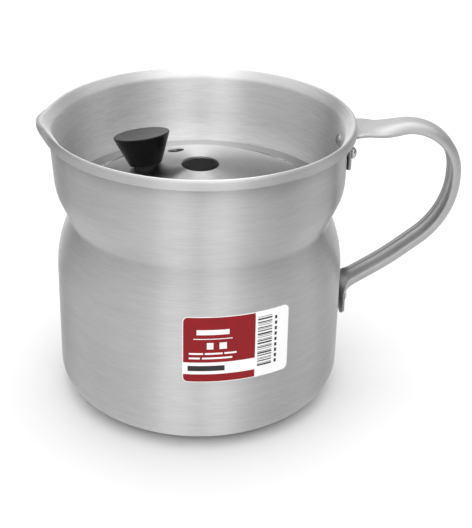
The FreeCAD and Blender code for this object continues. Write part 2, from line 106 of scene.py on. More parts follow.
# ---- guard disc and knob -------------------------------------------------------------
GUARD_SHEET = 1.0                    # thickness
GUARD_Z = disc_lo.z                  # underside of the flat flange
GUARD_R = disc_hi.x                  # outer radius
BEAD = (57.4, 0.8, 0.9)              # radius, half width and height
DOME_R = 117.0                       # radius of the dome's sphere
FOOT_RISE = 0.3                      # the dome's foot above the flange
CENTRE_HOLE = 9.2                    # radius
RETURN_HOLES = ((25.5, 114.0, 4.0), (25.5, 294.0, 4.0))    # circle, angle and radius
DISC_STEP = 1.9                      # distance between the points of the disc's mesh
HOLE_BAND = (0.55, 0.6)              # first ring round a hole, and where the others start
KNOB_PLACE = (26.2, 170.4)           # circle and angle
KNOB_LEAN = (12.5, 126.6)            # lean from upright and its direction
KNOB_STANDOFF = 1.5                  # along its axis, from the dome to its foot
KNOB_HOLE = 2.1                      # radius of the hole for its screw
KNOB_TOP_R = 13.8
KNOB_BASE_R = 7.9
KNOB_HEIGHT = 14.7
KNOB_EDGES = (0.5, 0.55, 4.0)        # bends of the foot, the upper edge and the dished top
KNOB_LAND = (1.6, 0.05)              # width and drop of the land inside the upper edge
KNOB_DISH = 0.35                     # hollow of the top at its middle
INSERT_R = 3.4                       # the threaded insert that the moulding leaves room for
INSERT_LENGTH = 10.0

# ---- rivets --------------------------------------------------------------------------
RIVET_HEAD = (3.0, 2.8)              # radius and height outside
RIVET_INNER = (3.0, 1.5)             # radius and height inside
RIVET_SHANK_R = 1.95                 # under both heads
RIVET_EDGE = 0.3                     # straight edge of the outer head

# ---- label ---------------------------------------------------------------------------
LABEL_ANGLE = -79.4                  # of its middle, in degrees from +X
LABEL_LENGTH = 51.6
LABEL_T = 0.15                       # thickness
LABEL_CORNER = 2.5
INK = 0.015                          # each printed layer stands this much higher
PANEL_EDGE = 0.35                    # white edge left outside the red panel
PANEL_RIGHT = 34.0                   # right end of the red panel, from the label's left edge
PANEL_CORNER = 2.2
STRIP_LOW, STRIP_HIGH = 4.3, 10.6    # of the white strip, above the label's lower edge
PATCH_STEP = 1.5                     # longest side of a patch's faces
CODE_BARS = (35.2, 42.6)             # left and right ends of the bar code's bars
CODE_DOTS = (44.0, 45.2)             # and of the row of marks beside it
CODE_UNIT = 0.29                     # thinnest bar

# ---- metal, floor and light ----------------------------------------------------------
ANISOTROPY_TURN = 0.25               # a quarter turn: the shine spreads across the rings
# Scales of the brushing, as (round the axis, up, out): larger is finer.
FINE_RINGS = (14.0, 4200.0, 4200.0)
RINGS = (7.0, 1700.0, 1700.0)
WIDE_RINGS = (3.0, 320.0, 320.0)
RING_MARKS = (60.0, 420.0, 420.0)
FLOOR_HALF = 3000.0                  # half of the floor's side
SOFTBOX_AT = (0.2, 0.1, 2.2)         # metres, like the next two
SOFTBOX_TO = (0, 0, 0.1)
SOFTBOX_SIZE = (1.2, 1.2)
SOFTBOX_POWER = 8.0
OVERHEAD_TONE = 1.9                  # straight above the object
OVERHEAD_FROM, OVERHEAD_FULL = 0.35, 0.9     # upward part of the direction, 1 straight up
# Direction in degrees from +X in the object's frame, and the tone there.
SURROUND_TONES = (
    (-180, 0.5), (-150, 0.6), (-128, 0.9), (-120, 2.1), (-102, 1.9), (-97, 0.8), (-92, 0.9),
    (-86, 2.1), (-68, 1.8), (-60, 0.7), (-44, 0.3), (-30, 0.05), (-14, 0.3), (0, 0.6), (20, 0.3),
    (45, 0.5), (70, 0.9), (92, 1.3), (104, 1.2), (118, 0.8), (126, 0.05), (140, 0.05), (150, 0.5),
    (180, 0.5),
)

# ---- camera --------------------------------------------------------------------------
CAMERA_AT = (-45.29, -604.78, 378.41)
CAMERA_TO = (18.08, -1.90, 63.61)
CAMERA_ROLL = 1.2                    # degrees
CAMERA_LENS = 93.3                   # focal length
CAMERA_SENSOR = 36.0                 # width


# ======================================================================================
# Outlines
# ======================================================================================
def unit(a, b):
    length = math.hypot(b[0] - a[0], b[1] - a[1])
    return (b[0] - a[0]) / length, (b[1] - a[1]) / length


def turn_between(a, b):
    """Signed turn from direction a to direction b; positive is to the left."""
    return math.atan2(a[0] * b[1] - a[1] * b[0], a[0] * b[0] + a[1] * b[1])


def ease(share):
    share = min(max(share, 0.0), 1.0)
    return share * share * (3 - 2 * share)


def offset_path(path, distance):
    """The same corners, moved to the right of the path by distance."""
    moved = []
    last = len(path) - 1
    for i, point in enumerate(path):
        before = unit(path[max(i - 1, 0)], path[max(i, 1)])
        after = unit(path[min(i, last - 1)], path[min(i + 1, last)])
        half = turn_between(before, after) / 2
        reach = distance / math.cos(half)
        angle = math.atan2(before[1], before[0]) + half - math.pi / 2
        moved.append((point[0] + reach * math.cos(angle), point[1] + reach * math.sin(angle)))
    return moved


def offset_bends(path, bends, distance):
    turns = [turn_between(unit(path[i], path[i + 1]), unit(path[i + 1], path[i + 2]))
             for i in range(len(bends))]
    return [bend + math.copysign(distance, turn) for bend, turn in zip(bends, turns)]


def subdivide(a, b, step):
    """Points from a to b, without b, at most step apart."""
    count = max(1, math.ceil(math.dist(a, b) / step))
    return [(a[0] + (b[0] - a[0]) * i / count, a[1] + (b[1] - a[1]) * i / count)
            for i in range(count)]


def rounded(path, bends, step, arc_step=7.0):
    """Points along a path whose corners are tangent arcs; arc_step is in degrees."""
    points = []
    start = path[0]
    for i in range(1, len(path) - 1):
        before = unit(path[i - 1], path[i])
        after = unit(path[i], path[i + 1])
        turn = turn_between(before, after)
        bend = bends[i - 1]
        reach = bend * math.tan(abs(turn) / 2)
        first = (path[i][0] - reach * before[0], path[i][1] - reach * before[1])
        points += subdivide(start, first, step)
        side = math.copysign(1, turn)
        centre = (first[0] - side * bend * before[1], first[1] + side * bend * before[0])
        from_angle = math.atan2(first[1] - centre[1], first[0] - centre[0])
        by_angle = abs(math.degrees(turn)) / arc_step
        by_length = abs(turn) * bend / step
        count = max(2, math.ceil(max(by_angle, by_length)))
        for k in range(count):
            angle = from_angle + turn * k / count
            points.append((centre[0] + bend * math.cos(angle), centre[1] + bend * math.sin(angle)))
        start = (path[i][0] + reach * after[0], path[i][1] + reach * after[1])
    return points + subdivide(start, path[-1], step) + [path[-1]]


# ======================================================================================
# Meshes
# ======================================================================================
def make_object(name, vertices, faces, smooth=True):
    mesh = bpy.data.meshes.new(name)
    mesh.from_pydata([Vector(v) * MM for v in vertices], [], faces)
    mesh.validate()
    mesh.polygons.foreach_set("use_smooth", [smooth] * len(mesh.polygons))
    obj = bpy.data.objects.new(name, mesh)
    bpy.context.scene.collection.objects.link(obj)
    return obj


def grid_faces(rows, columns, wrap_rows=False, wrap_columns=False):
    faces = []
    for i in range(rows if wrap_rows else rows - 1):
        for j in range(columns if wrap_columns else columns - 1):
            a = i * columns + j
            b = i * columns + (j + 1) % columns
            c = (i + 1) % rows * columns + (j + 1) % columns
            d = (i + 1) % rows * columns + j
            faces.append((a, b, c, d))
    return faces


def turned_faces(vertices, outline, count):
    """Faces of an outline turned in count steps; its two ends on the axis are added here."""
    rows = len(outline) - 2
    faces = grid_faces(count, rows, wrap_rows=True)
    low = len(vertices)
    vertices += [(0, 0, outline[0][1]), (0, 0, outline[-1][1])]
    for k in range(count):
        following = (k + 1) % count
        faces.append((low, following * rows, k * rows))
        faces.append((low + 1, k * rows + rows - 1, following * rows + rows - 1))
    return faces


def lathe(name, outline, count, place):
    """Turns an outline of (radius, height), whose ends are on the axis, and places it."""
    vertices = []
    for k in range(count):
        angle = math.tau * k / count
        vertices += [(r * math.cos(angle), r * math.sin(angle), z) for r, z in outline[1:-1]]
    faces = turned_faces(vertices, outline, count)
    obj = make_object(name, [place(Vector(v)) for v in vertices], faces)
    outward(obj)
    return obj


def outward(obj):
    """Turns all faces of a closed mesh outwards."""
    shape = bmesh.new()
    shape.from_mesh(obj.data)
    bmesh.ops.recalc_face_normals(shape, faces=shape.faces)
    shape.to_mesh(obj.data)
    shape.free()


# ---- pot body ------------------------------------------------------------------------
def body_outline():
    """Closed outline of the pot's sheet from the axis, out, up, over the rim and back."""
    outer = [
        (0.0, 0.0), (WALL_R, 0.0), (WALL_R, SHOULDER[0]), (WAIST[0], WAIST[1]),
        (WALL_R, COLLAR[0]), (WALL_R, FLARE_Z - FLARE_RUN),
    ]
    outer_bends = [BASE_CORNER, SHOULDER[1], WAIST[2], COLLAR[1]]
    inner = offset_path(outer, -SHEET)
    inner_bends = offset_bends(outer, outer_bends, -SHEET)
    inside = WALL_R - SHEET
    across = RIM_R - RIM_BEND - inside
    up = RIM_TOP - RIM_BEND - FLARE_Z
    slope = math.atan2(across, up) - math.asin(RIM_BEND / math.hypot(across, up))
    crest = FLARE_Z + (RIM_R - inside) / math.tan(slope)
    rim = [(inside, FLARE_Z - FLARE_RUN), (inside, FLARE_Z), (RIM_R, crest), (RIM_R, SKIRT_Z)]
    under = offset_path(rim, SHEET)
    under_bends = offset_bends(rim, [FLARE_BEND, RIM_BEND], SHEET)
    up_outside = outer[:-1] + [under[1], under[2], under[3], rim[3], rim[2], rim[1]]
    bends = outer_bends + [under_bends[0], under_bends[1], EDGE_BEND, EDGE_BEND]
    bends += [RIM_BEND, FLARE_BEND]
    path = up_outside + inner[::-1][1:]
    bends += inner_bends[::-1]
    return rounded(path, bends, BODY_STEP)


def beak_share(angle, half_angle, sharpness):
    """1 at the beak's middle, falling to 0 at half_angle on both sides."""
    across = abs(angle - BEAK_ANGLE) / half_angle
    if across >= 1:
        return 0.0
    return math.cos(math.pi / 2 * across) ** (2 * sharpness)


def with_beak(radius, height, angle):
    """Moves a point of the round pot to where the beak has it."""
    half_angle, sharpness, wall_reach = BEAK_WALL
    wall = beak_share(angle, half_angle, sharpness)
    if wall == 0.0 or height < BEAK_FOOT_Z:
        return radius, height
    lip = beak_share(angle, *BEAK_LIP)
    low = ease((height - BEAK_FOOT_Z) / (FLARE_Z - BEAK_FOOT_Z))
    high = ease((radius - WALL_R) / (RIM_R - WALL_R))
    reach = wall * low * wall_reach + lip * high * (BEAK_REACH - wall_reach)
    curl = lip * high * BEAK_CURL * (RIM_TOP - height) / (RIM_TOP - SKIRT_Z)
    return radius + reach, height - wall * low * BEAK_DROP + curl


def round_angles():
    """Angles round the pot, in degrees, closer together at the beak."""
    fine = [180 + turn * 0.5 for turn in range(-56, 57)]
    coarse = [210 + turn * 1.25 for turn in range(int(300 / 1.25) + 1)]
    return fine + coarse[:-1]


def make_pot_body():
    """The pot, and for each of its faces the slot: 0 outside, 1 from the crest inwards."""
    outline = body_outline()
    inner = outline[1:-1]
    vertices = []
    angles = round_angles()
    for angle in angles:
        c, s = math.cos(math.radians(angle)), math.sin(math.radians(angle))
        for r, z in inner:
            radius, height = with_beak(r, z, angle)
            vertices.append((radius * c, radius * s, height))
    pot = make_object("pot_shell", vertices, turned_faces(vertices, outline, len(angles)))
    outward(pot)
    crest = max(range(len(inner)), key=lambda row: inner[row][1])
    slots = [int(row >= crest) for angle in angles for row in range(len(inner) - 1)]
    return pot, slots + [0, 1] * len(angles)


# ---- handle --------------------------------------------------------------------------
def handle_spine():
    """Points along the outer side of the handle's loop, from tab to tab."""
    rise = math.tan(math.radians(TOP_RISE))
    top_z = UPPER_BEND[0] + (HANDLE_REACH - UPPER_TAB) * rise
    knee_z = SIDE_CORNER[0] - (HANDLE_REACH - KNEE[0]) * math.tan(math.radians(LOWER_SLOPE))
    path = [
        (UPPER_TAB, UPPER_TAB_END), (UPPER_TAB, UPPER_BEND[0]), (HANDLE_REACH, top_z),
        (HANDLE_REACH, SIDE_CORNER[0]), (KNEE[0], knee_z), (LOWER_TAB, LOWER_BEND[0]),
        (LOWER_TAB, handle_lo.z),
    ]
    bends = [UPPER_BEND[1], TOP_BEND, SIDE_CORNER[1], KNEE[1], LOWER_BEND[1]]
    return rounded(path, bends, HANDLE_STEP)


def fold_point(run, fold):
    """Distance across and depth of a point on the folded strip's middle, and its slope."""
    corner = CHANNEL_R * math.pi / 2
    if fold < 1e-6:
        return run, 0.0, 0.0
    radius = CHANNEL_R / fold
    back = min(run, CHANNEL_FLAT)
    bent = min(run - back, corner) / radius
    straight = max(run - back - corner, 0.0)
    across = back + radius * math.sin(bent) + straight * math.cos(bent)
    depth = radius * (1 - math.cos(bent)) + straight * math.sin(bent)
    return across, depth, bent


def strip_section(fold, width):
    """Closed outline (across, depth) of the strip, with rounded edges."""
    half = width / 2
    runs = [half - STRIP_EDGE] + [half * k / 16 for k in range(15, -16, -1)] + [-half + STRIP_EDGE]
    runs = [run for run in runs if abs(run) <= half - STRIP_EDGE + 1e-9]
    outline = []
    for shift, order in ((-STRIP / 2, runs), (STRIP / 2, runs[::-1])):
        for run in order:
            across, depth, bent = fold_point(abs(run), fold)
            across -= shift * math.sin(bent)
            depth += STRIP / 2 + shift * math.cos(bent)
            outline.append((math.copysign(across, run), depth))
        side = math.copysign(1, order[-1])
        for turn in (45, 90, 135):
            reach = STRIP_EDGE * math.sin(math.radians(turn))
            lift = -math.copysign(STRIP / 2, -shift) * math.cos(math.radians(turn))
            across, depth, bent = fold_point(half - STRIP_EDGE, fold)
            across += reach * math.cos(bent) - lift * math.sin(bent)
            depth += STRIP / 2 + reach * math.sin(bent) + lift * math.cos(bent)
            outline.append((side * across, depth))
    return outline


def make_handle():
    spine = handle_spine()
    travelled = [0.0]
    for a, b in zip(spine, spine[1:]):
        travelled.append(travelled[-1] + math.dist(a, b))
    total = travelled[-1]
    top_from = UPPER_BEND[0] - UPPER_TAB_END + FOLD_START
    low_to = total - FLAT_LOW
    vertices = []
    for i, point in enumerate(spine):
        forward = unit(spine[max(i - 1, 0)], spine[min(i + 1, len(spine) - 1)])
        inward = (forward[1], -forward[0])
        run = travelled[i]
        fold = min(ease((run - top_from) / FOLD_TOP), ease((low_to - run) / FOLD_LOW))
        width = STRIP_WIDTH + (GRIP_WIDTH - STRIP_WIDTH) * fold
        for gap in (run, total - run):
            if gap < TAB_ROUNDING:
                chord = math.sqrt(TAB_ROUNDING ** 2 - (TAB_ROUNDING - gap) ** 2)
                width -= 2 * (TAB_ROUNDING - chord)
        for across, depth in strip_section(fold, width):
            vertices.append((point[0] + inward[0] * depth, across, point[1] + inward[1] * depth))
    columns = len(vertices) // len(spine)
    faces = grid_faces(len(spine), columns, wrap_columns=True)
    faces.append(tuple(range(columns)))
    faces.append(tuple(range(len(vertices) - 1, len(vertices) - columns - 1, -1)))
    handle = make_object("handle_strap", vertices, faces)
    outward(handle)
    return handle


# ---- rivets --------------------------------------------------------------------------
def make_rivet(node):
    """Domed head outside, shank, and formed head inside, on the CAD rivet's axis."""
    lo, hi = (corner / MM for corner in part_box(node))
    y, z = (lo.y + hi.y) / 2, (lo.z + hi.z) / 2
    head_r, head_h = RIVET_HEAD
    inner_r, inner_h = RIVET_INNER
    seat = hi.x - head_h
    inner_seat = lo.x + inner_h
    outline = [(0.0, lo.x)]
    for k in range(1, 13):
        turn = math.radians(90 * k / 12)
        flat = inner_h * (1 - math.sin(turn) ** 2.6)
        outline.append((inner_r * math.sin(turn), inner_seat - flat))
    outline += [(inner_r, inner_seat + 0.7), (RIVET_SHANK_R, inner_seat + 0.8)]
    outline += [(RIVET_SHANK_R, seat - 0.05)]
    outline += [(head_r - 0.25, seat), (head_r - 0.05, seat + 0.15)]
    for k in range(12, -1, -1):
        turn = math.radians(90 * k / 12)
        rise = RIVET_EDGE + (head_h - RIVET_EDGE) * math.cos(turn)
        outline.append((head_r * math.sin(turn), seat + rise))
    return lathe("rivet_" + node, outline, 40, lambda v: (v.z, y + v.y, z - v.x))


# ---- guard disc ----------------------------------------------------------------------
def dome_z(radius):
    foot_r = BEAD[0] - BEAD[1]
    centre = GUARD_Z + GUARD_SHEET + FOOT_RISE - math.sqrt(DOME_R ** 2 - foot_r ** 2)
    return centre + math.sqrt(DOME_R ** 2 - radius ** 2)


def disc_top(radius):
    """Height of the disc's upper face: dome, bead, then flat flange."""
    flange = GUARD_Z + GUARD_SHEET
    bead_r, half, height = BEAD
    if radius <= bead_r - half:
        return dome_z(radius)
    if radius >= bead_r + half:
        return flange
    share = (radius - bead_r) / half
    base = flange + FOOT_RISE * (1 - share) / 2
    return base + (height - FOOT_RISE / 2) * (1 - share * share)


def circle(centre, radius, count):
    return [(centre[0] + radius * math.cos(math.tau * k / count),
             centre[1] + radius * math.sin(math.tau * k / count)) for k in range(count)]


def polar(radius, angle):
    return radius * math.cos(math.radians(angle)), radius * math.sin(math.radians(angle))


def disc_holes():
    """Centre, radius and number of points of each hole, the centre hole first."""
    holes = [((0.0, 0.0), CENTRE_HOLE, 96), (polar(*KNOB_PLACE), KNOB_HOLE, 32)]
    return holes + [(polar(ring, angle), radius, 48) for ring, angle, radius in RETURN_HOLES]


def disc_rings():
    """Radii of the rings of points between the centre hole and the disc's edge."""
    bead_r, half = BEAD[:2]
    radii = [CENTRE_HOLE + 1.0 + DISC_STEP * k for k in range(24)]
    radii = [r for r in radii if r < bead_r - half - 0.7]
    radii += [bead_r + half * share for share in (-1.5, -1, -0.66, -0.33, 0, 0.33, 0.66, 1, 1.5)]
    return radii + [bead_r + half + k for k in (1.6, 3.2, 4.8)] + [GUARD_R - 0.5]


def flat_disc(holes):
    """Points and triangles of the flat disc with its holes left open."""
    points, loops = [], []
    for centre, radius, count in holes + [((0.0, 0.0), GUARD_R, 240)]:
        loops.append(range(len(points), len(points) + count))
        points += circle(centre, radius, count)
    for radius in disc_rings():
        count = max(64, round(math.tau * radius / DISC_STEP / 8) * 8)
        points += [p for p in circle((0.0, 0.0), radius, count)
                   if all(math.dist(p, c) > r + HOLE_BAND[1] for c, r, n in holes)]
    for centre, radius, count in holes[1:]:
        points += circle(centre, radius + HOLE_BAND[0], count)
    edges = [(loop[i], loop[(i + 1) % len(loop)]) for loop in loops for i in range(len(loop))]
    flat = delaunay_2d_cdt([Vector(p) for p in points], edges, [], 0, 1e-6)
    flat_points, triangles = flat[0], flat[2]
    kept = []
    for triangle in triangles:
        middle = sum((flat_points[i] for i in triangle), Vector((0, 0))) / len(triangle)
        outside = all((middle - Vector(c)).length > r * 0.999 for c, r, n in holes)
        if outside and middle.length < GUARD_R:
            kept.append(tuple(triangle))
    return flat_points, kept


def disc_skins(flat_points):
    """Points of the upper and the lower face, one sheet apart along the dome's normal."""
    step = 0.05
    top, low = [], []
    for p in flat_points:
        r = p.length
        slope = (disc_top(r + step) - disc_top(r - step)) / (2 * step)
        normal = Vector((-slope, 1)).normalized()
        reach = p.normalized() * normal.x * GUARD_SHEET
        if r > BEAD[0] + BEAD[1]:
            reach = Vector((0, 0))
        top.append((p.x, p.y, disc_top(r)))
        low.append((p.x - reach.x, p.y - reach.y, disc_top(r) - GUARD_SHEET * normal.y))
    return top, low


def make_disc():
    """The flat disc lifted to the dome on both faces, with walls at its edge and holes."""
    flat_points, kept = flat_disc(disc_holes())
    top, low = disc_skins(flat_points)
    count = len(flat_points)
    faces = kept + [tuple(i + count for i in reversed(t)) for t in kept]
    sides = [side for a, b, c in kept for side in ((a, b), (b, c), (c, a))]
    used = set(sides)
    faces += [(b, a, a + count, b + count) for a, b in sides if (b, a) not in used]
    disc = make_object("guard_plate", top + low, faces)
    outward(disc)
    bevel = disc.modifiers.new("rounded_edges", "BEVEL")
    bevel.width = 0.18 * MM
    bevel.segments = 2
    bevel.limit_method = "ANGLE"
    bevel.angle_limit = math.radians(60)
    return disc


# ---- knob ----------------------------------------------------------------------------
def knob_frame():
    """Matrix that puts a piece standing on Z on the knob's foot."""
    tilt, towards = (math.radians(angle) for angle in KNOB_LEAN)
    turn = Matrix.Rotation(towards, 4, "Z") @ Matrix.Rotation(tilt, 4, "Y")
    x, y = polar(*KNOB_PLACE)
    foot = Vector((x, y, dome_z(KNOB_PLACE[0]))) + turn @ Vector((0, 0, KNOB_STANDOFF))
    return Matrix.Translation(foot) @ turn


def make_knob():
    path = [
        (INSERT_R, 0.0), (KNOB_BASE_R, 0.0), (KNOB_TOP_R, KNOB_HEIGHT),
        (KNOB_TOP_R - KNOB_LAND[0], KNOB_HEIGHT - KNOB_LAND[1]), (0.0, KNOB_HEIGHT - KNOB_DISH),
    ]
    outline = [(0.0, INSERT_LENGTH), (INSERT_R, INSERT_LENGTH)]
    outline += rounded(path, KNOB_EDGES, 1.6, 15.0)
    where = knob_frame()
    return lathe("knob_moulding", outline, 96, lambda v: where @ v)


# ---- label ---------------------------------------------------------------------------
def shoulder_turn():
    return math.atan2(WALL_R - WAIST[0], WAIST[1] - SHOULDER[0])


def wall_radius(height):
    """Outer radius of the pot's wall between the base corner and the waist."""
    start = SHOULDER[0] - SHOULDER[1] * math.tan(shoulder_turn() / 2)
    if height <= start:
        return WALL_R
    return WALL_R - SHOULDER[1] + math.sqrt(SHOULDER[1] ** 2 - (height - start) ** 2)


def on_wall(along, height, lift):
    """Point on the wall; along is measured round it from the label's left edge."""
    angle = math.radians(LABEL_ANGLE) + (along - LABEL_LENGTH / 2) / WALL_R
    radius = wall_radius(height) + lift
    return radius * math.cos(angle), radius * math.sin(angle), height


def label_patch(left, low, right, high, corner=0.0, skip=()):
    """Rounded rectangle, as rows of (along, height); skip names corners that stay square."""
    rows = []
    count = max(2, math.ceil((high - low) / PATCH_STEP))
    heights = [low + (high - low) * k / count for k in range(count + 1)]
    if corner:
        rises = [corner * (1 - math.cos(math.radians(turn))) for turn in range(15, 91, 15)]
        heights += [low + rise for rise in rises] + [high - rise for rise in rises]
    for z in sorted(set(round(h, 4) for h in heights)):
        cut = {"low": max(corner - (z - low), 0.0), "high": max(corner - (high - z), 0.0)}
        inset = {side: corner - math.sqrt(max(corner ** 2 - c ** 2, 0.0)) for side, c in cut.items()}
        a = left + sum(inset[side] for side in inset if side + "_left" not in skip)
        b = right - sum(inset[side] for side in inset if side + "_right" not in skip)
        rows.append((z, a, b))
    return rows


def add_patch(mesh_parts, rows, lift, slot):
    """Adds a thin closed plate on the wall to the lists in mesh_parts."""
    vertices, faces, slots = mesh_parts
    columns = max(2, math.ceil((rows[0][2] - rows[0][1]) / PATCH_STEP)) + 1
    base = len(vertices)
    for level in (lift, 0.0):
        for z, a, b in rows:
            vertices += [on_wall(a + (b - a) * k / (columns - 1), z, level) for k in range(columns)]
    size = len(rows) * columns
    front = grid_faces(len(rows), columns)
    made = [tuple(base + i for i in face) for face in front]
    made += [tuple(base + size + i for i in reversed(face)) for face in front]
    ring = list(range(columns))
    ring += [i * columns + columns - 1 for i in range(1, len(rows))]
    ring += [(len(rows) - 1) * columns + k for k in range(columns - 2, -1, -1)]
    ring += [i * columns for i in range(len(rows) - 2, 0, -1)]
    for i, a in enumerate(ring):
        b = ring[(i + 1) % len(ring)]
        made.append((base + b, base + a, base + a + size, base + b + size))
    faces += made
    slots += [slot] * len(made)


def make_label():
    """White film with a red panel, plain bars in place of print, and a bar code."""
    low, high = label_lo.z, label_hi.z
    paper, red, white, black = range(4)
    strip_low, strip_top = low + STRIP_LOW, low + STRIP_HIGH
    panels = (
        (strip_top, high - PANEL_EDGE, ("low_left", "low_right", "high_right")),
        (low + PANEL_EDGE, strip_low, ("high_left", "high_right", "low_right")),
    )
    parts = ([], [], [])
    film = label_patch(0.0, low, LABEL_LENGTH, high, LABEL_CORNER)
    add_patch(parts, film, LABEL_T, paper)
    for bottom, top, skip in panels:
        panel = label_patch(PANEL_EDGE, bottom, PANEL_RIGHT, top, PANEL_CORNER, skip)
        add_patch(parts, panel, LABEL_T + INK, red)
    for mark in white_marks(strip_top, high):
        add_patch(parts, label_patch(*mark), LABEL_T + 2 * INK, white)
    for mark in black_marks(low, high):
        add_patch(parts, label_patch(*mark), LABEL_T + INK, black)
    vertices, faces, slots = parts
    return make_object("label_film", vertices, faces, smooth=False), slots


def white_marks(low, high):
    """Plain marks on the red panel, as (left, low, right, high): a heading, lines, squares."""
    marks = [(6.5, high - 9.2, 21.5, high - 6.6), (5.0, high - 11.6, 23.0, high - 11.2)]
    for row, runs in enumerate((((3.0, 9.5), (10.3, 18.5), (19.3, 25.0)), ((3.0, 8.0), (9.0, 23.0)))):
        z = low + 4.2 - 2.4 * row
        marks += [(a, z, b, z + 0.9) for a, b in runs]
    marks += [(11.2, low + 7.0, 14.2, low + 10.4), (17.0, low + 7.0, 20.4, low + 10.4)]
    return marks


def black_marks(low, high):
    """A heading bar on the white strip, and a made-up bar code whose bars lie flat."""
    marks = [(2.4, low + 6.0, 19.5, low + 8.8)]
    z = low + 5.6
    widths = (3, 1, 2, 1, 1, 2, 3, 1, 1, 2, 1, 3, 2, 1, 1, 1, 3, 2, 1, 2, 1, 1, 2, 3, 1, 1)
    for k, width in enumerate(widths * 2):
        thickness = CODE_UNIT * width
        if z + thickness > high - 2.2:
            break
        marks.append((CODE_BARS[0], z, CODE_BARS[1], z + thickness))
        z += thickness + CODE_UNIT * (1 + (k * 5) % 3)
    for k in range(9):
        bottom = low + 5.6 + 2.9 * k
        marks.append((CODE_DOTS[0], bottom, CODE_DOTS[1], bottom + 1.8))
    return marks


# ======================================================================================
# Materials
# ======================================================================================
class Nodes:
    """Adds nodes to a material or a world and links them in one call each."""

    def __init__(self, owner, shader="Principled BSDF"):
        self.owner = owner
        self.owner.use_nodes = True
        self.tree = self.owner.node_tree
        self.shader = self.tree.nodes[shader]

    def add(self, kind, inputs=None, **settings):
        made = self.tree.nodes.new(kind)
        for key, value in settings.items():
            setattr(made, key, value)
        for key, value in (inputs or {}).items():
            self.put(made.inputs[key], value)
        return made

    def put(self, socket, value):
        if isinstance(value, bpy.types.NodeSocket):
            self.tree.links.new(value, socket)
        else:
            socket.default_value = value

    def math(self, operation, a, b=0.0):
        return self.add("ShaderNodeMath", {0: a, 1: b}, operation=operation).outputs[0]

    def noise(self, vector, scale=1.0, detail=2.0, rough=0.5):
        inputs = {"Vector": vector, "Scale": scale, "Detail": detail, "Roughness": rough}
        return self.add("ShaderNodeTexNoise", inputs).outputs[0]

    def remap(self, value, low, high, from_low=0.3, from_high=0.7):
        inputs = {"Value": value, "From Min": from_low, "From Max": from_high,
                  "To Min": low, "To Max": high}
        return self.add("ShaderNodeMapRange", inputs).outputs[0]

    def blend(self, share, a, b):
        mix = self.add("ShaderNodeMix", data_type="RGBA")
        for key, value in ((0, share), (6, a), (7, b)):
            self.put(mix.inputs[key], value)
        return mix.outputs[2]

    def bump(self, height, strength, distance, after=None):
        inputs = {"Height": height, "Strength": strength, "Distance": distance}
        if after is not None:
            inputs["Normal"] = after
        return self.add("ShaderNodeBump", inputs).outputs[0]

    def scaled(self, vector, by):
        scale = self.add("ShaderNodeVectorMath", {0: vector, 1: by}, operation="MULTIPLY")
        return scale.outputs[0]


def around_axis(n):
    """Coordinates that follow the turning: angle round the axis, height, radius."""
    where = n.add("ShaderNodeTexCoord").outputs["Object"]
    parts = n.add("ShaderNodeSeparateXYZ", {0: where})
    angle = n.math("ARCTAN2", parts.outputs[1], parts.outputs[0])
    squares = n.math("ADD", n.math("POWER", parts.outputs[0], 2.0),
                     n.math("POWER", parts.outputs[1], 2.0))
    radius = n.math("SQRT", squares)
    combined = n.add("ShaderNodeCombineXYZ", {0: angle, 1: parts.outputs[2], 2: radius})
    return combined.outputs[0], where


def plain(tone):
    return tone, tone, tone, 1.0


def grey(value):
    """A grey with the trace of blue that aluminium and white film have."""
    return value, value, value * 1.005, 1.0


def turned_aluminium(name, tone, roughness):
    """Aluminium brushed round the pot's axis: fine rings, wider rings and faint marks."""
    n = Nodes(bpy.data.materials.new(name))
    turning, where = around_axis(n)
    fine = n.noise(n.scaled(turning, FINE_RINGS), detail=2.0)
    rings = n.noise(n.scaled(turning, RINGS), detail=2.0)
    wide = n.noise(n.scaled(turning, WIDE_RINGS), detail=1.0)
    cloud = n.noise(where, scale=22.0, detail=3.0)
    marks = n.noise(n.scaled(turning, RING_MARKS), detail=4.0, rough=0.7)
    lines = n.math("ADD", n.math("MULTIPLY", fine, 0.45), n.math("MULTIPLY", rings, 0.55))
    shade = n.math("ADD", n.math("MULTIPLY", lines, 0.8), n.math("MULTIPLY", wide, 0.2))
    colour = n.blend(n.remap(shade, 0.0, 1.0, 0.35, 0.65), grey(tone * 0.88), grey(tone * 1.08))
    colour = n.blend(n.remap(cloud, 0.0, 0.08), colour, grey(tone * 0.86))
    colour = n.blend(n.remap(marks, 0.0, 0.35, 0.66, 0.8), colour, grey(tone * 0.7))
    n.put(n.shader.inputs["Base Color"], colour)
    rough = n.math("ADD", n.remap(lines, roughness - 0.05, roughness + 0.06),
                   n.remap(cloud, -0.02, 0.04))
    n.put(n.shader.inputs["Roughness"], rough)
    n.shader.inputs["Metallic"].default_value = 1.0
    n.shader.inputs["Anisotropic"].default_value = 1.0
    n.shader.inputs["Anisotropic Rotation"].default_value = ANISOTROPY_TURN
    tangent = n.add("ShaderNodeTangent", direction_type="RADIAL", axis="Z").outputs[0]
    n.put(n.shader.inputs["Tangent"], tangent)
    n.put(n.shader.inputs["Normal"], n.bump(lines, 0.25, 0.00004))
    return n.owner


